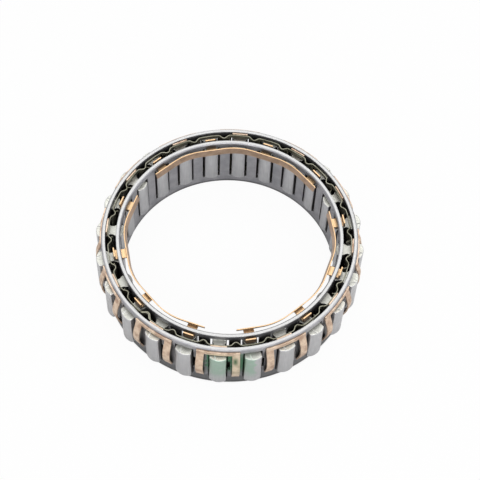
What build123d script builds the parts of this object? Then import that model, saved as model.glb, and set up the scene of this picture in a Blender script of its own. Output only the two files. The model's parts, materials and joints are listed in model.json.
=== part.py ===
from build123d import *
from math import atan2, cos, degrees, radians, sin, tan
import os

# A full-phasing sprag clutch: twenty-four sprags held by an outer and an inner cage, with a
# ribbon spring between the cages, bronze drag clips outside and bronze drag strips inside.
# The races that it works between belong to the shaft and the housing and aren't part of it.
# Millimetres. The ring axis is Z and the part stands on z = 0. At angle 0 radial is +X and
# tangential is +Y, and each piece is built there and then turned to its place.

# The radial build-up, from the inner race out to the outer race, and the sprag pattern
inner_race_radius = 31.67
inner_race_gap = 0.93
inner_cage_wall = 1.2
cage_gap = 3.2
outer_cage_wall = 1.2
outer_race_gap = 1.8
sprag_count = 24
first_sprag_angle = 12.6

# The two cages
cage_height = 21.0
rim_chamfer = 0.35
bottom_rail = 3.3
top_rail = 2.0
outer_window_width = 5.5
inner_window_width = 5.4
notch_depth = 0.75
notch_height = 5.9

# The sprags, whose cams stand a little past both races until they are fitted
outer_preload = 0.12
inner_preload = 0.10
outer_side_gap = 0.3
inner_side_gap = 0.65
sprag_floor_gap = 0.15
sprag_plate_gap = 0.6
waist_width = 3.1
waist_length = 0.7
flank_run = 0.25
outer_crown = 0.9
inner_crown = 0.7
cam_skew = 0.35

# The ribbon spring
ribbon_thickness = 0.25
ribbon_tab_gap = 0.1
ribbon_bottom = 1.0
ribbon_rim_gap = 0.6
ribbon_window_gap = 0.15
ribbon_side_gap = 0.62
hump_depth = 1.1
hump_width = 3.0
hump_crest_width = 0.7
hump_shift_angle = 0.3
lap_hump_number = 15
lap_gap = 0.06
lap_run_angle = 0.3
lap_step_angle = 1.0
tongue_end_gap = 0.9
tongue_reach_in = 1.25
tongue_reach_across = 0.9

# The bronze drag clips outside the outer cage, one at every second sprag
bronze_thickness = 0.45
clip_step = 2
first_clip_sprag = 1
clip_leg_shift_angle = 0.2
clip_leg_width = 2.2
clip_leg_foot_gap = 1.4
clip_leg_preload = 0.2
clip_leg_crest_height = 4.0
clip_bar_rim_gap = 0.9
clip_tab_width = 4.7
clip_tab_gap = 0.1
tab_rim_gap = 0.4

# The bronze drag strips inside the inner cage, hooked at the other sprags
strip_count = 3
first_strip_sprag = 2
strip_end_angle = 6.5
strip_height = 2.2
strip_rim_gap = 0.6
strip_cage_gap = 0.2
strip_bend_radius = 18.0
hook_width = 3.1
hook_stand_off = 0.65

# Places that follow from the sizes above
pitch_angle = 360 / sprag_count
inner_cage_bore = inner_race_radius + inner_race_gap
inner_cage_radius = inner_cage_bore + inner_cage_wall
outer_cage_bore = inner_cage_radius + cage_gap
outer_cage_radius = outer_cage_bore + outer_cage_wall
outer_race_radius = outer_cage_radius + outer_race_gap
window_floor = bottom_rail
window_ceiling = cage_height - top_rail
window_middle = (window_floor + window_ceiling) / 2
plate_bottom = window_ceiling - bronze_thickness
tab_top = cage_height - tab_rim_gap
clip_tab_back = outer_cage_bore - clip_tab_gap
clip_tab_face = clip_tab_back - bronze_thickness
clip_leg_angle = pitch_angle / 2 + clip_leg_shift_angle
sprag_bottom = window_floor + sprag_floor_gap
sprag_top = plate_bottom - sprag_plate_gap
outer_head_half = outer_window_width / 2 - outer_side_gap
inner_head_half = inner_window_width / 2 - inner_side_gap
ribbon_radius = clip_tab_face - ribbon_tab_gap - ribbon_thickness / 2
ribbon_window_floor = sprag_bottom - ribbon_window_gap
ribbon_window_ceiling = window_ceiling + ribbon_window_gap
ribbon_window_half = degrees((outer_head_half + ribbon_side_gap) / ribbon_radius)


def turned(shape, angle):
    return Rot(0, 0, angle) * shape


def polar(radius, angle):
    return (radius * cos(radians(angle)), radius * sin(radians(angle)))


def sprag_angle(number):
    return first_sprag_angle + number * pitch_angle


def ring_sector(inner, outer, half_angle, bottom, top):
    """A piece of tube centred on angle 0."""
    with BuildPart() as piece:
        with BuildSketch(Plane.XY.offset(bottom)):
            with BuildLine():
                Line(polar(inner, -half_angle), polar(outer, -half_angle))
                ThreePointArc(polar(outer, -half_angle), (outer, 0), polar(outer, half_angle))
                Line(polar(outer, half_angle), polar(inner, half_angle))
                ThreePointArc(polar(inner, half_angle), (inner, 0), polar(inner, -half_angle))
            make_face()
        extrude(amount=top - bottom)
    return piece.part


def cage_ring(bore, wall, open_side):
    """A plain cage ring, its upper rim broken on the side away from the gap between the cages."""
    with BuildPart() as ring:
        with BuildSketch(Plane.XZ) as section:
            with Locations((bore + wall / 2, cage_height / 2)):
                Rectangle(wall, cage_height)
            rim = section.vertices().group_by(Axis.Y)[-1].sort_by(Axis.X)
            chamfer(rim[open_side], min(rim_chamfer, 0.45 * wall))
        revolve(axis=Axis.Z)
    return ring.part


def window_cutter(bore, wall, width):
    """A slot through one cage wall, cut radially."""
    with BuildPart() as cutter:
        with BuildSketch(Plane.YZ.offset(bore - wall)):
            with Locations((0, window_middle)):
                Rectangle(width, window_ceiling - window_floor)
        extrude(amount=3 * wall)
    return cutter.part


def notch_cutter():
    """The small square bite in one side of each outer window."""
    overlap = outer_side_gap
    across = outer_window_width / 2 + (notch_depth - overlap) / 2
    place = Pos(outer_cage_bore, across, window_middle)
    return place * Box(4 * outer_cage_wall, notch_depth + overlap, notch_height)


def outer_cage():
    window = window_cutter(outer_cage_bore, outer_cage_wall, outer_window_width)
    opening = window + notch_cutter()
    ring = cage_ring(outer_cage_bore, outer_cage_wall, -1)
    return ring - [turned(opening, sprag_angle(n)) for n in range(sprag_count)]


def inner_cage():
    window = window_cutter(inner_cage_bore, inner_cage_wall, inner_window_width)
    ring = cage_ring(inner_cage_bore, inner_cage_wall, 0)
    return ring - [turned(window, sprag_angle(n)) for n in range(sprag_count)]


def sprag():
    """One sprag: two skewed cam faces on a waisted body, the outer head wider than the inner."""
    outer_reach = outer_race_radius + outer_preload
    inner_reach = inner_race_radius - inner_preload
    outer_left = (outer_reach - outer_crown - cam_skew / 2, -outer_head_half)
    outer_right = (outer_reach - outer_crown + cam_skew / 2, outer_head_half)
    inner_right = (inner_reach + inner_crown + cam_skew / 2, inner_head_half)
    inner_left = (inner_reach + inner_crown - cam_skew / 2, -inner_head_half)
    outer_flank = outer_cage_bore - flank_run
    inner_flank = inner_cage_radius + flank_run
    waist_middle = (outer_flank + inner_flank) / 2
    outer_waist = waist_middle + waist_length / 2
    inner_waist = waist_middle - waist_length / 2
    with BuildPart() as body:
        with BuildSketch(Plane.XY.offset(sprag_bottom)):
            with BuildLine():
                ThreePointArc(outer_left, (outer_reach, cam_skew), outer_right)
                Polyline(
                    outer_right,
                    (outer_flank, outer_head_half),
                    (outer_waist, waist_width / 2),
                    (inner_waist, waist_width / 2),
                    (inner_flank, inner_head_half),
                    inner_right,
                )
                ThreePointArc(inner_right, (inner_reach, -cam_skew), inner_left)
                Polyline(
                    inner_left,
                    (inner_flank, -inner_head_half),
                    (inner_waist, -waist_width / 2),
                    (outer_waist, -waist_width / 2),
                    (outer_flank, -outer_head_half),
                    outer_left,
                )
            make_face()
        extrude(amount=sprag_top - sprag_bottom)
    return body.part


def hump_angle(number):
    """The middle of one ribbon hump, about halfway between two sprags."""
    return sprag_angle(number) - pitch_angle / 2 + hump_shift_angle


def bend_angle(half_width, offset):
    """How far a hump's bend lies from its middle on the face at this offset, with mitred bends."""
    lean = atan2(hump_depth, (hump_width - hump_crest_width) / 2)
    return degrees((half_width - offset * tan(lean / 2)) / ribbon_radius)


def ribbon_run(start, end, offset):
    """A plain stretch of the ribbon that follows the cage."""
    radius = ribbon_radius + offset
    ThreePointArc(polar(radius, start), polar(radius, (start + end) / 2), polar(radius, end))


def ribbon_hump(middle, offset):
    """One inward hump: flank, flat crest and flank."""
    foot = bend_angle(hump_width / 2, offset)
    crest = bend_angle(hump_crest_width / 2, offset)
    crest_radius = ribbon_radius - hump_depth + offset
    Polyline(
        polar(ribbon_radius + offset, middle - foot),
        polar(crest_radius, middle - crest),
        polar(crest_radius, middle + crest),
        polar(ribbon_radius + offset, middle + foot),
    )


def ribbon_outline(offset):
    """One face of the ribbon, once round from its outer end to the end that laps inside it."""
    foot = bend_angle(hump_width / 2, offset)
    lap_start = hump_angle(lap_hump_number) - bend_angle(hump_width / 2, 0) - lap_run_angle
    here = lap_start
    for number in range(lap_hump_number, lap_hump_number + sprag_count):
        middle = hump_angle(number)
        ribbon_run(here, middle - foot, offset)
        ribbon_hump(middle, offset)
        here = middle + foot
    ribbon_run(here, lap_start + 360 - lap_step_angle, offset)
    lapped = offset - ribbon_thickness - lap_gap
    lapped_foot = bend_angle(hump_width / 2, lapped)
    middle = hump_angle(lap_hump_number) + 360
    Line(
        polar(ribbon_radius + offset, lap_start + 360 - lap_step_angle),
        polar(ribbon_radius + lapped, middle - lapped_foot - lap_run_angle),
    )
    ribbon_run(middle - lapped_foot - lap_run_angle, middle - lapped_foot, lapped)
    ribbon_hump(middle, lapped)
    inner_end_angle = middle + bend_angle(hump_width / 2, 0) + 2 * lap_run_angle
    ribbon_run(middle + lapped_foot, inner_end_angle, lapped)
    return polar(ribbon_radius + offset, lap_start), polar(ribbon_radius + lapped, inner_end_angle)


def ribbon_tongue():
    """The leaf, bent in from a window's side, that presses on one sprag's waist."""
    bottom = ribbon_window_floor + tongue_end_gap
    root = Vector(*polar(ribbon_radius, ribbon_window_half)) + Vector(0, ribbon_thickness)
    tip = root - Vector(tongue_reach_in, tongue_reach_across)
    across = (tip - root).normalized().cross(Vector(0, 0, 1)) * (ribbon_thickness / 2)
    with BuildPart() as leaf:
        with BuildSketch(Plane.XY.offset(bottom)):
            with BuildLine():
                Polyline(root + across, tip + across, tip - across, root - across, close=True)
            make_face()
        extrude(amount=ribbon_window_ceiling - tongue_end_gap - bottom)
    return leaf.part


def ribbon_spring():
    """The split spring strip: a hump between each two sprags, and a window and tongue at each."""
    half = ribbon_thickness / 2
    with BuildPart() as strip:
        with BuildSketch(Plane.XY.offset(ribbon_bottom)):
            with BuildLine():
                outer_start, outer_end = ribbon_outline(half)
                inner_start, inner_end = ribbon_outline(-half)
                Line(outer_start, inner_start)
                Line(outer_end, inner_end)
            make_face()
        extrude(amount=cage_height - ribbon_rim_gap - ribbon_bottom)
    window = ring_sector(
        ribbon_radius - 2 * ribbon_thickness - lap_gap,
        ribbon_radius + ribbon_thickness,
        ribbon_window_half,
        ribbon_window_floor,
        ribbon_window_ceiling,
    )
    cut = strip.part - [turned(window, sprag_angle(n)) for n in range(sprag_count)]
    return cut + [turned(ribbon_tongue(), sprag_angle(n)) for n in range(sprag_count)]


def clip_hook():
    """The middle of a clip: a plate through the window from the bar, and a tab inside the wall."""
    bar_middle = outer_cage_radius + bronze_thickness / 2
    with BuildPart() as hook:
        with BuildSketch(Plane.XZ):
            with BuildLine():
                Polyline(
                    (bar_middle, plate_bottom),
                    (clip_tab_face, plate_bottom),
                    (clip_tab_face, tab_top),
                    (clip_tab_back, tab_top),
                    (clip_tab_back, window_ceiling),
                    (bar_middle, window_ceiling),
                    close=True,
                )
            make_face()
        extrude(amount=clip_tab_width / 2, both=True)
    return hook.part


def clip_leg():
    """One drag leg, from the bar's lower edge out past the outer race and back to the cage."""
    wall = outer_cage_radius
    bow = outer_race_radius + clip_leg_preload - bronze_thickness
    foot = window_floor + clip_leg_foot_gap
    crest_middle = (plate_bottom + foot) / 2
    back = [
        (wall, plate_bottom),
        (bow, crest_middle + clip_leg_crest_height / 2),
        (bow, crest_middle - clip_leg_crest_height / 2),
        (wall, foot),
    ]
    front = [(radius + bronze_thickness, height) for radius, height in back]
    with BuildPart() as leg:
        with BuildSketch(Plane.XZ):
            with BuildLine():
                Polyline(*back, *reversed(front), close=True)
            make_face()
        extrude(amount=clip_leg_width / 2, both=True)
    return leg.part


def outer_drag_clip():
    """One bronze clip over one sprag, with a drag leg on the cage bar at each side."""
    half_angle = clip_leg_angle + degrees(clip_leg_width / 2 / outer_cage_radius)
    bar = ring_sector(
        outer_cage_radius,
        outer_cage_radius + bronze_thickness,
        half_angle,
        plate_bottom,
        cage_height - clip_bar_rim_gap,
    )
    return bar + clip_hook() + [turned(clip_leg(), side * clip_leg_angle) for side in (-1, 1)]


def strip_hook(strip_face):
    """One hook of a strip: a plate through the window and a tab up outside the inner cage."""
    tab_face = inner_cage_radius + hook_stand_off
    tab_back = tab_face + bronze_thickness
    with BuildPart() as hook:
        with BuildSketch(Plane.XZ):
            with BuildLine():
                Polyline(
                    (strip_face, plate_bottom),
                    (tab_back, plate_bottom),
                    (tab_back, tab_top),
                    (tab_face, tab_top),
                    (tab_face, window_ceiling),
                    (strip_face, window_ceiling),
                    close=True,
                )
            make_face()
        extrude(amount=hook_width / 2, both=True)
    return hook.part


def inner_drag_strip():
    """One bronze strip curved along the inner cage, with a hook on each of its short flats."""
    hooks = sprag_count // clip_step // strip_count
    spacing = clip_step * pitch_angle
    last = (hooks - 1) * spacing
    back = (inner_cage_bore - strip_cage_gap) * cos(radians(spacing / 2))
    face = back - bronze_thickness
    bends = [((n + 0.5) * spacing, spacing / 2) for n in range(hooks - 1)]
    places = [(-strip_end_angle, strip_end_angle), *bends, (last + strip_end_angle, strip_end_angle)]
    with BuildPart() as strip:
        with BuildSketch(Plane.XY.offset(cage_height - strip_rim_gap - strip_height)) as section:
            with BuildLine():
                front = [polar(face / cos(radians(off)), angle) for angle, off in places]
                rear = [polar(back / cos(radians(off)), angle) for angle, off in places]
                Polyline(*front, *reversed(rear), close=True)
            make_face()
            corners = [v for v in section.vertices() if 0 < degrees(atan2(v.Y, v.X)) < last]
            fillet(corners, strip_bend_radius)
        extrude(amount=strip_height)
    return strip.part + [turned(strip_hook(face), n * spacing) for n in range(hooks)]


def save(shape, name):
    export_step(shape, f"parts/{name}.step")


os.makedirs("parts", exist_ok=True)
save(outer_cage(), "outer_cage")
save(inner_cage(), "inner_cage")
save(ribbon_spring(), "ribbon_spring")
one_sprag = sprag()
for n in range(sprag_count):
    save(turned(one_sprag, sprag_angle(n)), f"sprag_{n + 1:02d}")
one_clip = outer_drag_clip()
for n in range(sprag_count // clip_step):
    angle = sprag_angle(first_clip_sprag + n * clip_step)
    save(turned(one_clip, angle), f"outer_drag_clip_{n + 1:02d}")
one_strip = inner_drag_strip()
for n in range(strip_count):
    angle = sprag_angle(first_strip_sprag + n * (sprag_count // strip_count))
    save(turned(one_strip, angle), f"inner_drag_strip_{n + 1}")
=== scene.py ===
# %% [markdown]
# Sprag clutch
#
# A full-phasing sprag clutch lies on its foot: two steel cages, twenty-four sprags between
# them, a wavy ribbon spring in the gap and bronze drag springs outside and inside. The packed
# model already holds every solid at its real size and place, so it is loaded first, and the
# rest of the lesson gives those solids their edges, finishes, light and camera.

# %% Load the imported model
import json
from math import cos, degrees, pi, radians, sin

import bmesh
import bpy
from mathutils import Matrix, Vector

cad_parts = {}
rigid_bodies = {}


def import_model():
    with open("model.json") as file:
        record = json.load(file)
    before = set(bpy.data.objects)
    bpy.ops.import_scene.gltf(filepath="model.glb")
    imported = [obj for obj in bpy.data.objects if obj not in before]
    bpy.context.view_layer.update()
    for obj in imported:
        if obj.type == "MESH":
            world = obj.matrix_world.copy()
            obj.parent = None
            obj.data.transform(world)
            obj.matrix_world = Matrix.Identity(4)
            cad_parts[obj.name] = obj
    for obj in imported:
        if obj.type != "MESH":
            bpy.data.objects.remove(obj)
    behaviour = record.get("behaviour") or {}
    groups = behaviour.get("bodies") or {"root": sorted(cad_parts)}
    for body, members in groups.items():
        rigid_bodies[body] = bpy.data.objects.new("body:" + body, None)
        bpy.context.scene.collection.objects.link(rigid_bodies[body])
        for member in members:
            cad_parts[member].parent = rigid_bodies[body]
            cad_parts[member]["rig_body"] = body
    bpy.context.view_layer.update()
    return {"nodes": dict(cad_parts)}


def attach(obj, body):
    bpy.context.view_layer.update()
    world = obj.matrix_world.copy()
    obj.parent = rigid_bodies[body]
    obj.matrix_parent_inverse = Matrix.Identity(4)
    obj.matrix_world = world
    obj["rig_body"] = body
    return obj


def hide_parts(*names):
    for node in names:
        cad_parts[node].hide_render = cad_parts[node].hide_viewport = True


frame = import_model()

MM = 0.001
scene = bpy.context.scene
nodes = frame["nodes"]
bpy.ops.object.select_all(action="DESELECT")
print("solids loaded:", len(nodes))

# %% [markdown]
# The camera
#
# The two rims are circles of known size, and a circle seen at an angle is an ellipse. The
# tilt, distance and focal length that turn the circles into the photograph's ellipses were
# worked out from that, so the camera stands where the one that took the photograph did:
# nearly 60 degrees above the table, and rolled by a little under three degrees.

# %% Camera
CAMERA_ELEVATION = radians(59.82)
CAMERA_ROLL = radians(2.715)
CAMERA_DISTANCE = 417.6 * MM
CAMERA_SHIFT_RIGHT = 3.504 * MM
CAMERA_SHIFT_UP = 8.943 * MM
FOCAL_PIXELS = 1345.6
PICTURE_PIXELS = 480
SENSOR_MM = 36.0
CLIP_NEAR = 10 * MM
CLIP_FAR = 10.0

back = Vector((0, -cos(CAMERA_ELEVATION), sin(CAMERA_ELEVATION)))
level_right = Vector((1, 0, 0))
level_up = back.cross(level_right)
right = level_right * cos(CAMERA_ROLL) + level_up * sin(CAMERA_ROLL)
up = level_up * cos(CAMERA_ROLL) - level_right * sin(CAMERA_ROLL)

camera = bpy.data.objects.new("camera", bpy.data.cameras.new("camera"))
scene.collection.objects.link(camera)
scene.camera = camera
camera.data.sensor_width = SENSOR_MM
camera.data.lens = FOCAL_PIXELS / PICTURE_PIXELS * SENSOR_MM
camera.data.clip_start = CLIP_NEAR
camera.data.clip_end = CLIP_FAR
stand = back * CAMERA_DISTANCE + right * CAMERA_SHIFT_RIGHT + up * CAMERA_SHIFT_UP
turn = Matrix((right, up, back)).transposed().to_4x4()
camera.matrix_world = Matrix.Translation(stand) @ turn
print("lens:", round(camera.data.lens, 1), "mm, from", round(stand.length / MM), "mm away")

# %% [markdown]
# A helper for finishes
#
# A finish could be painted on as a picture, but a picture has to be wrapped round each piece
# and blurs close up. Here every finish is procedural instead: it is worked out from the place
# of a point on the object, in metres, so it keeps its scale on every piece. Nodes are long to
# write out in code, so a class shortens it. It grows over three cells: the plain sums come
# first, then the patterns, then the wear.

# %% Nodes and sums
LEVEL = (0.75, 0.95)


class NodeSums:
    """One node material and the sums that its finish is made of."""

    def __init__(self, name):
        self.material = bpy.data.materials.new(name)
        self.material.use_nodes = True
        self.tree = self.material.node_tree
        self.tree.nodes.clear()
        self.shader = self.add("ShaderNodeBsdfPrincipled")
        self.output = self.add("ShaderNodeOutputMaterial")
        self.join(self.shader.outputs["BSDF"], self.output.inputs["Surface"])
        self.place = self.add("ShaderNodeTexCoord").outputs["Object"]
        self.normal = self.add("ShaderNodeNewGeometry").outputs["Normal"]
        self.x, self.y, self.z = self.split(self.place)
        self.faces_up = self.ramp(self.split(self.normal)[2], *LEVEL)

    def add(self, kind, **settings):
        node = self.tree.nodes.new(kind)
        for key, value in settings.items():
            setattr(node, key, value)
        return node

    def join(self, source, target):
        self.tree.links.new(source, target)

    def feed(self, target, value):
        if hasattr(value, "is_linked"):
            self.join(value, target)
        elif isinstance(value, tuple):
            target.default_value = (*value, 1.0)
        else:
            target.default_value = value

    def math(self, operation, *values):
        node = self.add("ShaderNodeMath", operation=operation)
        for socket, value in zip(node.inputs, values):
            self.feed(socket, value)
        return node.outputs[0]

    def times(self, first, second):
        return self.math("MULTIPLY", first, second)

    def split(self, vector):
        node = self.add("ShaderNodeSeparateXYZ")
        self.join(vector, node.inputs[0])
        return node.outputs

    def ramp(self, value, low, high, to_low=0.0, to_high=1.0):
        """An S-shaped step from to_low, where value is low, to to_high, where it is high."""
        node = self.add("ShaderNodeMapRange", interpolation_type="SMOOTHSTEP")
        for socket, item in zip(node.inputs, (value, low, high, to_low, to_high)):
            self.feed(socket, item)
        return node.outputs[0]

    def mix(self, share, first, second):
        node = self.add("ShaderNodeMix", data_type="RGBA")
        self.feed(node.inputs[0], share)
        self.feed(node.inputs[6], first)
        self.feed(node.inputs[7], second)
        return node.outputs[2]


print("sums ready, level from", LEVEL[0], "of straight up")

# %% [markdown]
# Patterns in the metal
#
# Clouds, speckles and grinding streaks are all noise, only of different size and stretch.
# A flat pattern would show a seam where its ends meet on a ring, but noise in three
# dimensions has none. The marks of turning run round the ring, so there the noise reads only
# radius and height, which stay the same all the way round.

# %% Noise and round marks
class Patterns(NodeSums):
    """Adds noise, and places measured round the ring."""

    def noise(self, size_mm, detail=3.0, stretch=(1, 1, 1), place=None):
        """Noise whose blobs are about size_mm across, and longer where stretch is below 1."""
        mapping = self.add("ShaderNodeMapping")
        self.join(place or self.place, mapping.inputs["Vector"])
        mapping.inputs["Scale"].default_value = [s / (size_mm * MM) for s in stretch]
        node = self.add("ShaderNodeTexNoise")
        self.join(mapping.outputs[0], node.inputs["Vector"])
        node.inputs["Scale"].default_value = 1.0
        node.inputs["Detail"].default_value = detail
        return node.outputs["Fac"]

    def radius(self):
        squares = self.math("ADD", self.times(self.x, self.x), self.times(self.y, self.y))
        return self.math("SQRT", squares)

    def angle_from(self, middle):
        """How far round the ring a point is from the angle middle, to either side."""
        angle = self.math("ARCTAN2", self.y, self.x)
        return self.math("ABSOLUTE", self.math("SUBTRACT", angle, middle))

    def round_and_up(self):
        """A place given as radius and height, for marks that run round the ring."""
        node = self.add("ShaderNodeCombineXYZ")
        self.join(self.radius(), node.inputs[0])
        self.join(self.z, node.inputs[2])
        return node.outputs[0]


print("patterns ready, measured in steps of", MM, "m")

# %% [markdown]
# Wear, painted highlights and painted shade
#
# Metal is rubbed bright where it is touched. Worn edges, painted edge highlights and painted
# shade in corners could all be painted by hand, but they can also be read off the shape: near
# a sharp edge the rounded normal of a Bevel node leaves the true one, and in a corner the
# Ambient Occlusion node sees less of the open. Then they follow the shape when it changes.

# %% Worn edges, painted highlights, painted corner shade and relief
EDGE_SAMPLES = 6
EDGE_TURN = (0.99, 0.90)
CORNER_SAMPLES = 8
CORNER_OPENNESS = (0.90, 0.50)
OUTWARD = (0.2, 0.5)


class Finish(Patterns):
    """Adds wear, painted highlights and shade, and relief, and puts the whole on the shader."""

    def faces_out(self):
        """1 on a face that looks away from the ring's axis, 0 on one that looks at it."""
        normal_x, normal_y, _ = self.split(self.normal)
        along = self.times(self.x, normal_x)
        along = self.math("MULTIPLY_ADD", self.y, normal_y, along)
        return self.ramp(self.math("DIVIDE", along, self.radius()), *OUTWARD)

    def edges(self, width_mm):
        """1 on an edge and 0 on a flat, from how far the rounded normal leaves the true one."""
        node = self.add("ShaderNodeBevel", samples=EDGE_SAMPLES)
        node.inputs["Radius"].default_value = width_mm * MM
        self.rounded = node.outputs[0]
        dot = self.add("ShaderNodeVectorMath", operation="DOT_PRODUCT")
        self.join(self.rounded, dot.inputs[0])
        self.join(self.normal, dot.inputs[1])
        return self.ramp(dot.outputs["Value"], *EDGE_TURN)

    # Gives the mask of the painted shade in corners.
    def corners(self, reach_mm):
        """1 deep in a corner and 0 in the open."""
        node = self.add("ShaderNodeAmbientOcclusion", samples=CORNER_SAMPLES)
        node.inputs["Distance"].default_value = reach_mm * MM
        return self.ramp(node.outputs["AO"], *CORNER_OPENNESS)

    def bump(self, height, depth_mm):
        """Relief on top of the rounded normal, so edges has to be called before it."""
        node = self.add("ShaderNodeBump")
        node.inputs["Distance"].default_value = depth_mm * MM
        self.join(height, node.inputs["Height"])
        self.join(self.rounded, node.inputs["Normal"])
        return node.outputs[0]

    def finish(self, colour, roughness, metallic, normal):
        self.feed(self.shader.inputs["Base Color"], colour)
        self.feed(self.shader.inputs["Roughness"], roughness)
        self.feed(self.shader.inputs["Metallic"], metallic)
        self.join(normal, self.shader.inputs["Normal"])
        print("finish:", self.material.name, "with", len(self.tree.nodes), "nodes")
        return self.material


print("wear ready, samples:", EDGE_SAMPLES, "for edges and", CORNER_SAMPLES, "for corners")

# %% [markdown]
# The green inspection dab
#
# The clutch carries one dab of thin green marking ink at the front, put on with a brush. It
# runs over two sprags, the cage between them and one clip leg, and wears thin towards the
# foot. A small dark smear near the top of that leg is where the brush came down. One mask,
# worked out from the angle round the ring and the height, serves all three finishes, so the
# dab lines up from piece to piece.

# %% The masks of the dab and the smear
DAB_MIDDLE = radians(272.8 - 360.0)
DAB_HALF = radians(11.3)
DAB_SIDE_FADE = radians(1.4)
DAB_RAGGED = 0.10
DAB_FOOT = 5.0 * MM
DAB_FOOT_FADE = 6.0 * MM
DAB_TOP = 19.3 * MM
DAB_TOP_FADE = 0.5 * MM
DAB_INNER_RADIUS = 36.9 * MM
DAB_INNER_FADE = 0.3 * MM
DAB_THIN_SHARE = 0.55
SMEAR_MIDDLE = radians(275.0 - 360.0)
SMEAR_HALF = radians(1.9)
SMEAR_HEIGHT = 16.2 * MM
SMEAR_RISE = (2.2 * MM, 0.2 * MM)


def dab_mask(finish, strength=1.0):
    ragged = finish.math("MULTIPLY_ADD", finish.noise(1.6, 3.0), DAB_RAGGED, -DAB_RAGGED / 2)
    off = finish.math("ADD", finish.angle_from(DAB_MIDDLE), ragged)
    across = finish.ramp(off, DAB_HALF, DAB_HALF - DAB_SIDE_FADE)
    low = finish.ramp(finish.z, DAB_FOOT, DAB_FOOT + DAB_FOOT_FADE)
    high = finish.ramp(finish.z, DAB_TOP, DAB_TOP - DAB_TOP_FADE)
    outside = finish.ramp(finish.radius(), DAB_INNER_RADIUS, DAB_INNER_RADIUS + DAB_INNER_FADE)
    patches = finish.noise(2.2, 3.0)
    share = finish.ramp(patches, 0.25, 0.55, DAB_THIN_SHARE * strength, strength)
    for mask in (across, low, high, outside):
        share = finish.times(share, mask)
    return share


def smear_mask(finish):
    across = finish.ramp(finish.angle_from(SMEAR_MIDDLE), SMEAR_HALF, 0.0)
    rise = finish.math("ABSOLUTE", finish.math("SUBTRACT", finish.z, SMEAR_HEIGHT))
    return finish.times(across, finish.ramp(rise, *SMEAR_RISE))


print("dab width:", round(degrees(2 * DAB_HALF), 1), "degrees round the ring")

# %% [markdown]
# Painted shade in the gap
#
# Little light reaches down between the cages, so the walls there, and the sides of the
# windows, are painted dark as shade. Without it the slots beside the sprags would look grey,
# because bare steel passes light on from face to face. The upper rail and level faces are
# left out of it.

# %% The mask of the painted gap shade
GAP_SHADE_INNER = 33.75 * MM
GAP_SHADE_INNER_FADE = 0.1 * MM
GAP_SHADE_OUTER = 38.15 * MM
GAP_SHADE_OUTER_FADE = 0.3 * MM
GAP_SHADE_TOP = 18.4 * MM
GAP_SHADE_TOP_FADE = 0.8 * MM
GAP_SHADE_SHARE = 0.85
GAP_SHADE_COLOUR = (0.03, 0.03, 0.028)


def with_gap_shade(finish, colour):
    """The colour with painted shade over it, wherever the gap between the cages lies."""
    inner = finish.ramp(finish.radius(), GAP_SHADE_INNER, GAP_SHADE_INNER + GAP_SHADE_INNER_FADE)
    outer = finish.ramp(finish.radius(), GAP_SHADE_OUTER, GAP_SHADE_OUTER - GAP_SHADE_OUTER_FADE)
    low = finish.ramp(finish.z, GAP_SHADE_TOP + GAP_SHADE_TOP_FADE, GAP_SHADE_TOP)
    upright = finish.math("SUBTRACT", 1.0, finish.faces_up)
    share = finish.times(finish.times(finish.times(inner, outer), low), upright)
    return finish.mix(finish.times(share, GAP_SHADE_SHARE), colour, GAP_SHADE_COLOUR)


# The painted gap shade lies between these radii.
print("oil between radius", GAP_SHADE_INNER / MM, "and", GAP_SHADE_OUTER / MM, "mm")

# %% [markdown]
# Bare steel for the cages
#
# The cages are turned from steel tube and tumbled. The walls are a cloudy mid grey, a little
# violet. The rims that the tool faced last carry fine rings round them and are lighter, partly
# from that finish and partly as a painted highlight on the level faces. Tumbling polishes the
# corners first, so the corners are lighter too. The outer cage is painted darker towards its
# foot as shade, and every inward corner is painted dark as shade.

# %% Cage steel
WALL_DARK, WALL_PALE = (0.29, 0.29, 0.31), (0.37, 0.365, 0.385)
WALL_SPECKLE = (0.20, 0.20, 0.21)
RIM_DARK, RIM_PALE = (0.45, 0.45, 0.45), (0.55, 0.55, 0.545)
CAGE_EDGE = (0.50, 0.50, 0.50)
CAGE_CORNER_SHADE = (0.03, 0.03, 0.03)
DAB_ON_CAGE = (0.04, 0.17, 0.08)
FOOT_SHADE_COLOUR = (0.13, 0.13, 0.135)
FOOT_SHADE_TOP, FOOT_SHADE_TOP_FADE = 5.5 * MM, 2 * MM
FOOT_SHADE_RADII = (36.0 * MM, 36.5 * MM)

steel = Finish("cage_steel")
cloud = steel.ramp(steel.noise(4.0, 4.0), 0.35, 0.65)
speckle = steel.noise(0.30, 2.0)
rings = steel.noise(0.12, 2.0, place=steel.round_and_up())
wall = steel.mix(cloud, WALL_DARK, WALL_PALE)
wall = steel.mix(steel.ramp(speckle, 0.55, 0.75, 0.0, 0.35), wall, WALL_SPECKLE)
# Painted shade: the outer cage's outside is darkened towards its foot, near the table.
foot_shade = steel.ramp(steel.z, FOOT_SHADE_TOP, FOOT_SHADE_TOP - FOOT_SHADE_TOP_FADE)
foot_shade = steel.times(foot_shade, steel.ramp(steel.radius(), *FOOT_SHADE_RADII))
wall = steel.mix(foot_shade, wall, FOOT_SHADE_COLOUR)
# Partly painted highlight: the level rims take a lighter colour than the walls, on top of their
# turned rings.
rim = steel.mix(rings, RIM_DARK, RIM_PALE)
colour = steel.mix(steel.faces_up, wall, rim)
colour = steel.mix(steel.times(steel.edges(0.45), 0.3), colour, CAGE_EDGE)
# Painted shade: inward corners, found by ambient occlusion, are darkened.
colour = steel.mix(steel.times(steel.corners(2.2), 0.85), colour, CAGE_CORNER_SHADE)
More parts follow.
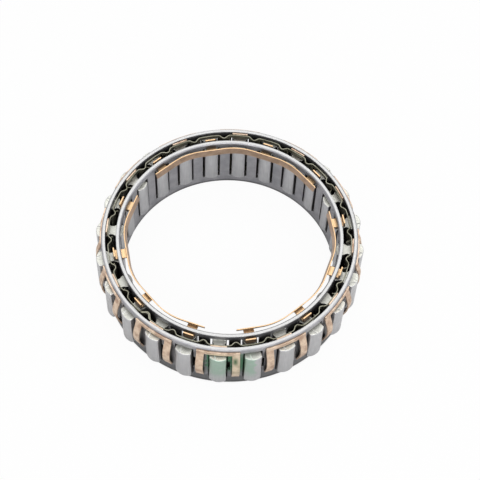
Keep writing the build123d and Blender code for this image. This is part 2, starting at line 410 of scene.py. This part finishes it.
# Painted shade in the gap between the cages.
colour = with_gap_shade(steel, colour)
colour = steel.mix(dab_mask(steel), colour, DAB_ON_CAGE)
roughness = steel.ramp(speckle, 0.3, 0.7, 0.32, 0.46)
height = steel.math("ADD", speckle, steel.times(rings, 0.6))
cage_steel = steel.finish(colour, roughness, 0.6, steel.bump(height, 0.004))

# %% [markdown]
# Ground steel for the sprags
#
# A sprag is drawn bar, ground along its length, then cut off. So its cam faces carry fine
# streaks that run up and down, while the cut ends are matt and a shade warmer. Stretching the
# noise along the height makes the streaks, which is simpler than drawing lines. The dab is
# mostly wiped off the ends.

# %% Sprag steel
CAM_DARK, CAM_PALE = (0.50, 0.50, 0.51), (0.60, 0.60, 0.61)
CAM_SHADE = (0.46, 0.46, 0.475)
CUT_DARK, CUT_PALE = (0.58, 0.58, 0.53), (0.70, 0.70, 0.65)
SPRAG_EDGE_HIGHLIGHT = (0.90, 0.90, 0.87)
SPRAG_CORNER_SHADE = (0.05, 0.05, 0.05)
DAB_ON_SPRAG = (0.27, 0.50, 0.34)

grind = Finish("sprag_steel")
streak = grind.noise(0.16, 3.0, stretch=(1, 1, 0.03))
shade = grind.ramp(grind.noise(2.5, 3.0), 0.35, 0.65)
cam = grind.mix(grind.ramp(streak, 0.3, 0.7), CAM_DARK, CAM_PALE)
cam = grind.mix(grind.times(shade, 0.35), cam, CAM_SHADE)
grain = grind.noise(0.25, 3.0)
cut = grind.mix(grind.ramp(grain, 0.3, 0.7), CUT_DARK, CUT_PALE)
colour = grind.mix(grind.faces_up, cam, cut)
# Painted highlight: the sprags' edges are made much lighter.
colour = grind.mix(grind.times(grind.edges(0.35), 0.8), colour, SPRAG_EDGE_HIGHLIGHT)
# Painted shade: inward corners, found by ambient occlusion, are darkened.
colour = grind.mix(grind.times(grind.corners(1.0), 0.6), colour, SPRAG_CORNER_SHADE)
# Painted shade in the gap between the cages.
colour = with_gap_shade(grind, colour)
wiped = grind.ramp(grind.faces_up, 0.0, 1.0, 1.0, 0.2)
colour = grind.mix(grind.times(dab_mask(grind, 0.6), wiped), colour, DAB_ON_SPRAG)
matt_end = grind.times(grind.faces_up, 0.18)
roughness = grind.math("ADD", grind.ramp(streak, 0.3, 0.7, 0.30, 0.40), matt_end)
height = grind.mix(grind.faces_up, streak, grain)
sprag_steel = grind.finish(colour, roughness, 0.9, grind.bump(height, 0.004))

# %% [markdown]
# Tempered steel for the ribbon
#
# Spring strip is tempered after it is formed, and comes out of the oil a straw to olive
# colour that shifts a little along the strip. Two colours mixed by a wide, soft noise give
# that without a visible pattern.

# %% Ribbon steel
OLIVE, STRAW = (0.17, 0.165, 0.12), (0.26, 0.255, 0.20)
RIBBON_EDGE = (0.50, 0.49, 0.42)

temper = Finish("ribbon_steel")
shift = temper.ramp(temper.noise(3.0, 3.0), 0.35, 0.65)
fine = temper.noise(0.25, 2.0, stretch=(1, 1, 0.2))
colour = temper.mix(shift, OLIVE, STRAW)
colour = temper.mix(temper.times(temper.edges(0.12), 0.3), colour, RIBBON_EDGE)
roughness = temper.ramp(fine, 0.3, 0.7, 0.34, 0.46)
ribbon_steel = temper.finish(colour, roughness, 0.9, temper.bump(fine, 0.003))

# %% [markdown]
# Dull bronze for the clips
#
# The drag clips are stamped from phosphor-bronze strip, and outside it has dulled to a matt
# tan with pale edges and brown stains. Two noises of different size make the stains, because
# one alone looks like a print. The smear and the dab are mixed in after them, so they lie on
# the stains.

# %% Clip bronze
TAN, TAN_STAIN, TAN_SPECK = (0.76, 0.60, 0.46), (0.46, 0.31, 0.22), (0.34, 0.22, 0.15)
CLIP_EDGE = (0.86, 0.70, 0.54)
SMEAR_COLOUR = (0.05, 0.09, 0.04)
DAB_ON_CLIP = (0.30, 0.42, 0.26)

bronze = Finish("clip_bronze")
stain = bronze.ramp(bronze.noise(2.2, 4.0), 0.35, 0.70)
fine = bronze.noise(0.22, 3.0)
colour = bronze.mix(stain, TAN, TAN_STAIN)
colour = bronze.mix(bronze.ramp(fine, 0.55, 0.75, 0.0, 0.6), colour, TAN_SPECK)
colour = bronze.mix(smear_mask(bronze), colour, SMEAR_COLOUR)
colour = bronze.mix(bronze.times(bronze.edges(0.15), 0.5), colour, CLIP_EDGE)
colour = bronze.mix(dab_mask(bronze, 0.25), colour, DAB_ON_CLIP)
roughness = bronze.ramp(fine, 0.3, 0.7, 0.42, 0.58)
clip_bronze = bronze.finish(colour, roughness, 0.7, bronze.bump(fine, 0.004))

# %% [markdown]
# Warm bronze for the strips
#
# The strips inside are of the same bronze, but no hand reaches them, so they are smoother
# and warmer. Their outer faces sit close to the cage, in its shade, and that shade is painted
# on as a dark brown; their upper faces and hooks get a painted highlight, and their edges a
# lighter painted highlight too. The direction of the face tells these apart, so no mask has
# to be painted.

# %% Strip bronze
WARM, WARM_STAIN = (0.56, 0.40, 0.29), (0.40, 0.28, 0.20)
STRIP_EDGE_HIGHLIGHT = (0.74, 0.54, 0.38)
STRIP_OUTER_SHADE = (0.20, 0.12, 0.07)
STRIP_TOP_HIGHLIGHT = (0.70, 0.47, 0.25)

golden = Finish("strip_bronze")
stain = golden.ramp(golden.noise(3.0, 4.0), 0.35, 0.70)
fine = golden.noise(0.20, 2.0, place=golden.round_and_up())
colour = golden.mix(stain, WARM, WARM_STAIN)
# Painted highlight: the strips' edges are made lighter.
colour = golden.mix(golden.times(golden.edges(0.15), 0.3), colour, STRIP_EDGE_HIGHLIGHT)
# Painted shade: faces that look out towards the cage wall are darkened.
colour = golden.mix(golden.faces_out(), colour, STRIP_OUTER_SHADE)
# Painted highlight: level faces of the strips and hooks are made lighter.
colour = golden.mix(golden.times(golden.faces_up, 0.8), colour, STRIP_TOP_HIGHLIGHT)
roughness = golden.ramp(fine, 0.3, 0.7, 0.30, 0.42)
strip_bronze = golden.finish(colour, roughness, 0.85, golden.bump(fine, 0.003))

# %% [markdown]
# Which piece wears which finish
#
# The pieces are named for what they are, so the first words of a name say which finish it
# takes. The cages and sprags are already the right shape, so their solids stay and only have
# their edges broken by live modifiers: the weld joins the loose triangles, the bevel rounds
# each corner, and the weighted normals keep the flats looking flat. A table gives each kind
# its finish and the width of its broken edges in mm, widest on the tumbled sprags.

# %% Dress the solids
FINISHES = (
    ("outer_cage", cage_steel, 0.08),
    ("inner_cage", cage_steel, 0.08),
    ("ribbon_spring", ribbon_steel, 0.04),
    ("sprag", sprag_steel, 0.24),
    ("outer_drag_clip", clip_bronze, 0.08),
    ("inner_drag_strip", strip_bronze, 0.08),
)
SAME_PLACE = 0.001 * MM
SHARP_EDGE = radians(30)
EDGE_SEGMENTS = 3


def dress(piece, kind):
    finish, width = [(m, w) for prefix, m, w in FINISHES if kind.startswith(prefix)][0]
    piece.data.materials.clear()
    piece.data.materials.append(finish)
    piece.data.polygons.foreach_set("use_smooth", [True] * len(piece.data.polygons))
    weld = piece.modifiers.new("weld", "WELD")
    weld.merge_threshold = SAME_PLACE
    bevel = piece.modifiers.new("edges", "BEVEL")
    bevel.limit_method = "ANGLE"
    bevel.angle_limit = SHARP_EDGE
    bevel.width = width * MM
    bevel.segments = EDGE_SEGMENTS
    piece.modifiers.new("shading", "WEIGHTED_NORMAL")


for name, node in nodes.items():
    dress(node, name)
print("solids dressed:", len(nodes))

# %% [markdown]
# Finer copies
#
# The solids bend sharply where real strip metal bends in a small round. A fitter would see
# that at once, so the springs are remodelled: a solid is copied, its loose triangles are
# merged, its flats are made whole again, and then only the edges that need it are rounded.
# Rounding everything would be quicker, but it would also melt the square windows.

# %% Copy a solid and round some of its edges
FLAT = radians(0.5)


def open_copy(node_name, piece_name):
    """A merged copy of one solid, left as the only selected object."""
    piece = bpy.data.objects.new(piece_name, nodes[node_name].data.copy())
    scene.collection.objects.link(piece)
    bpy.ops.object.select_all(action="DESELECT")
    piece.select_set(True)
    bpy.context.view_layer.objects.active = piece
    bpy.ops.object.mode_set(mode="EDIT")
    bpy.ops.mesh.select_all(action="SELECT")
    bpy.ops.mesh.remove_doubles(threshold=SAME_PLACE)
    bpy.ops.mesh.dissolve_limited(angle_limit=FLAT)
    bpy.ops.mesh.normals_make_consistent(inside=False)
    bpy.ops.mesh.select_all(action="DESELECT")
    bpy.ops.mesh.select_mode(type="EDGE")
    bpy.ops.object.mode_set(mode="OBJECT")
    print(piece.name, "faces once merged:", len(piece.data.polygons))
    return piece


def round_edges(piece, is_wanted, width_mm, segments):
    """Round the edges whose run (a unit vector), fold (in degrees) and place are wanted."""
    model = bmesh.new()
    model.from_mesh(piece.data)
    wanted = set()
    for edge in model.edges:
        first, second = edge.verts
        run = (second.co - first.co).normalized()
        if len(edge.link_faces) == 2 and is_wanted(run, degrees(edge.calc_face_angle()), first.co):
            wanted.add(edge.index)
    model.free()
    for edge in piece.data.edges:
        edge.select = edge.index in wanted
    bpy.ops.object.mode_set(mode="EDIT")
    bpy.ops.mesh.bevel(offset=width_mm * MM, segments=segments, affect="EDGES")
    bpy.ops.object.mode_set(mode="OBJECT")
    print(piece.name, "edges rounded:", len(wanted), "faces now:", len(piece.data.polygons))


# %% [markdown]
# Putting copies in place
#
# What repeats is modelled once. The copies could share one mesh, but each has to be a piece
# of its own in the exported model, so each gets its own mesh, turned about the ring's axis.
# Then every piece takes the finish and the body of the solid that it stands for.

# %% Copy round the ring and stand in
def ring_of_copies(piece, count, name_form):
    """The piece and its copies, evenly spread round the ring."""
    ring = [piece]
    for number in range(2, count + 1):
        copy = bpy.data.objects.new(name_form.format(number), piece.data.copy())
        scene.collection.objects.link(copy)
        copy.data.transform(Matrix.Rotation(radians(360 / count * (number - 1)), 4, "Z"))
        ring.append(copy)
    print(piece.name, "and copies:", len(ring))
    return ring


def stand_in(piece, node_name):
    """Let a finished piece stand for one solid, in the same body and with the same finish."""
    dress(piece, node_name)
    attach(piece, nodes[node_name]["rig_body"])
    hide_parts(node_name)


# %% [markdown]
# The ribbon's bends
#
# The solid's humps have sharp folds. Real strip can't fold sharper than about its own
# thickness, so every upright fold is rounded, a third of a millimetre to each side. The
# windows' corners are upright edges too, but they are square, so the size of the fold tells
# them apart.

# %% Ribbon with round bends
RIBBON_ROUNDING_MM = 0.35
RIBBON_SEGMENTS = 3


def is_upright_fold(run, fold, place):
    return abs(run.z) > 0.99 and 12 < fold < 80


ribbon = open_copy("ribbon_spring", "ribbon_with_round_bends")
round_edges(ribbon, is_upright_fold, RIBBON_ROUNDING_MM, RIBBON_SEGMENTS)
stand_in(ribbon, "ribbon_spring")

# %% [markdown]
# The clips' bowed legs
#
# Each clip leg bows out to drag on the housing. The solid gives it four straight parts; the
# real leg is one easy curve. The clip is modelled once, with its level folds rounded wide,
# and turned round the ring in steps of 30 degrees, because all twelve are one stamping. The
# folds of its hook are higher up and stay as they are.

# %% Twelve bowed clips
CLIP_COUNT = 12
CLIP_ROUNDING_MM = 1.7
CLIP_SEGMENTS = 5
LEG_TOP = 18 * MM


def is_level_fold(run, fold, place):
    return abs(run.z) < 0.05 and 8 < fold < 60 and place.z < LEG_TOP


clip = open_copy("outer_drag_clip_01", "bowed_clip_01")
round_edges(clip, is_level_fold, CLIP_ROUNDING_MM, CLIP_SEGMENTS)
for number, piece in enumerate(ring_of_copies(clip, CLIP_COUNT, "bowed_clip_{:02d}"), 1):
    stand_in(piece, f"outer_drag_clip_{number:02d}")

# %% [markdown]
# The leaning strips
#
# In the photograph the far side of the inner strips shows a face, and the near side only a
# thin line. That happens when the strip is thin and leans: its foot stands further in than
# its head, so that it drags on the shaft with its lower edge. The solid stands upright, as a
# plain band. A shear could tilt a straight band, but this one is bent round the ring, so each
# point of the copy moves in by its depth below the head, which turns the band into a cone.
# The outer face also moves in to thin it, and the foot rises a little.

# %% Three leaning strips
STRIP_COUNT = 3
STRIP_TOP = 20.4 * MM
STRIP_FOOT = 18.2 * MM
FOOT_RISE = 0.3 * MM
STRIP_LEAN = 0.3
THINNING = 0.13 * MM
CAGE_BORE = 32.5 * MM

strip = open_copy("inner_drag_strip_1", "leaning_strip_1")
model = bmesh.new()
model.from_mesh(strip.data)
model.normal_update()
outward = set()
for face in model.faces:
    away = face.calc_center_median().xy.normalized()
    if face.normal.xy.dot(away) > 0.8:
        outward.update(vertex.index for vertex in face.verts)
for vertex in model.verts:
    from_axis = vertex.co.xy.length
    if from_axis < CAGE_BORE:
        depth = STRIP_TOP - vertex.co.z
        move = depth * STRIP_LEAN + (THINNING if vertex.index in outward else 0)
        vertex.co.xy *= 1 - move / from_axis
        if vertex.co.z < STRIP_FOOT + 0.05 * MM:
            vertex.co.z += FOOT_RISE
model.to_mesh(strip.data)
model.free()
for number, piece in enumerate(ring_of_copies(strip, STRIP_COUNT, "leaning_strip_{}"), 1):
    stand_in(piece, f"inner_drag_strip_{number}")

# %% [markdown]
# The table
#
# A bright metal part mostly shows what surrounds it. The table is white paper: to the camera
# it is mostly plain white with a faint shadow, but near the part and under it the metal sees
# the paper as it really lies there, in the part's own shade. That shade, together with the
# shade painted on the cages' foot and in their gap, makes the foot of the cage and the gap
# between the cages dark.

# %% Table
TABLE_SIZE = 4.0
PAPER = (0.80, 0.80, 0.80)
WHITE_SHARE = 0.95
GLOW_OUTSIDE = (39.0 * MM, 75.0 * MM)
GLOW_INSIDE = (30.0 * MM, 20.0 * MM)
GLOW_INSIDE_SHARE = 0.4
CAGES_OUTSIDE = (38.0 * MM, 38.5 * MM)
CAGES_INSIDE = (32.9 * MM, 32.4 * MM)

bpy.ops.object.select_all(action="DESELECT")
bpy.ops.mesh.primitive_plane_add(size=TABLE_SIZE, location=(0, 0, 0))
table = bpy.context.object
table.name = "table"

paper = Finish("table_paper")
rays = paper.add("ShaderNodeLightPath").outputs
inside = paper.times(paper.ramp(paper.radius(), *GLOW_INSIDE), GLOW_INSIDE_SHARE)
glow = paper.math("MAXIMUM", paper.ramp(paper.radius(), *GLOW_OUTSIDE), inside)
glow = paper.ramp(glow, 0.0, 1.0, 0.0, WHITE_SHARE)
glossy = paper.times(rays["Is Glossy Ray"], glow)
seen = paper.math("MAXIMUM", rays["Is Camera Ray"], rays["Is Transmission Ray"])
share = paper.math("MAXIMUM", glossy, paper.times(seen, WHITE_SHARE))
beside = paper.ramp(paper.radius(), *CAGES_OUTSIDE)
within = paper.ramp(paper.radius(), *CAGES_INSIDE)
share = paper.times(share, paper.math("MAXIMUM", beside, within))
matt = paper.add("ShaderNodeBsdfDiffuse")
paper.feed(matt.inputs["Color"], PAPER)
white = paper.add("ShaderNodeEmission")
blend = paper.add("ShaderNodeMixShader")
paper.join(share, blend.inputs[0])
paper.join(matt.outputs[0], blend.inputs[1])
paper.join(white.outputs[0], blend.inputs[2])
paper.join(blend.outputs[0], paper.output.inputs["Surface"])
paper.tree.nodes.remove(paper.shader)
table.data.materials.append(paper.material)
print("table:", TABLE_SIZE, "m wide, white share", WHITE_SHARE)

# %% [markdown]
# The light
#
# One large soft box hangs behind and above, where a level face mirrors it into the camera:
# that is why the rims are nearly white. One in front lights the walls, and a weaker one on
# the right puts a soft line on the sprags; the left gets almost none, as in the photograph.
# Each box's power follows from how bright its face should look, so that a larger box doesn't
# also look brighter in the metal.

# %% Lights
AIM = Vector((0, 0, 10 * MM))
SOFT_BOXES = (
    # name, place, width and height in metres, brightness of its face
    ("light_behind", (0.0, 0.45, 0.78), (0.9, 0.6), 1.5),
    ("light_front", (0.0, -0.70, 0.65), (1.0, 0.45), 3.0),
    ("light_left", (-0.8, -0.15, 0.45), (0.4, 0.5), 0.4),
    ("light_right", (0.8, -0.15, 0.45), (0.4, 0.5), 2.2),
)

for name, place, (width, height), brightness in SOFT_BOXES:
    light = bpy.data.lights.new(name, "AREA")
    light.shape = "RECTANGLE"
    light.size, light.size_y = width, height
    light.energy = brightness * pi * width * height
    holder = bpy.data.objects.new(name, light)
    scene.collection.objects.link(holder)
    holder.location = place
    holder.rotation_euler = (AIM - Vector(place)).to_track_quat("-Z", "Y").to_euler()
    print(name, "power:", round(light.energy, 2), "W")

# %% [markdown]
# The room
#
# The room is pale all round. The camera and the metal see it white, but it lights the part
# only half as strongly, so that the soft boxes still give the pieces their form.

# %% Room
ROOM_LIGHT = 0.5
ROOM_SEEN = 1.0

world = bpy.data.worlds.new("studio")
scene.world = world
world.use_nodes = True
room = world.node_tree.nodes["Background"]
room.inputs["Color"].default_value = (1, 1, 1, 1)
rays = world.node_tree.nodes.new("ShaderNodeLightPath").outputs
shown = rays["Is Camera Ray"]
for kind in ("Is Glossy Ray", "Is Transmission Ray"):
    either = world.node_tree.nodes.new("ShaderNodeMath")
    either.operation = "MAXIMUM"
    world.node_tree.links.new(shown, either.inputs[0])
    world.node_tree.links.new(rays[kind], either.inputs[1])
    shown = either.outputs[0]
strength = world.node_tree.nodes.new("ShaderNodeMapRange")
strength.inputs["To Min"].default_value = ROOM_LIGHT
strength.inputs["To Max"].default_value = ROOM_SEEN
world.node_tree.links.new(shown, strength.inputs["Value"])
world.node_tree.links.new(strength.outputs[0], room.inputs["Strength"])
scene.view_settings.view_transform = "Standard"
print("room:", ROOM_LIGHT, "as light,", ROOM_SEEN, "as seen")

# %% [markdown]
# The size
#
# The dressed model must stay inside the box of the solids.
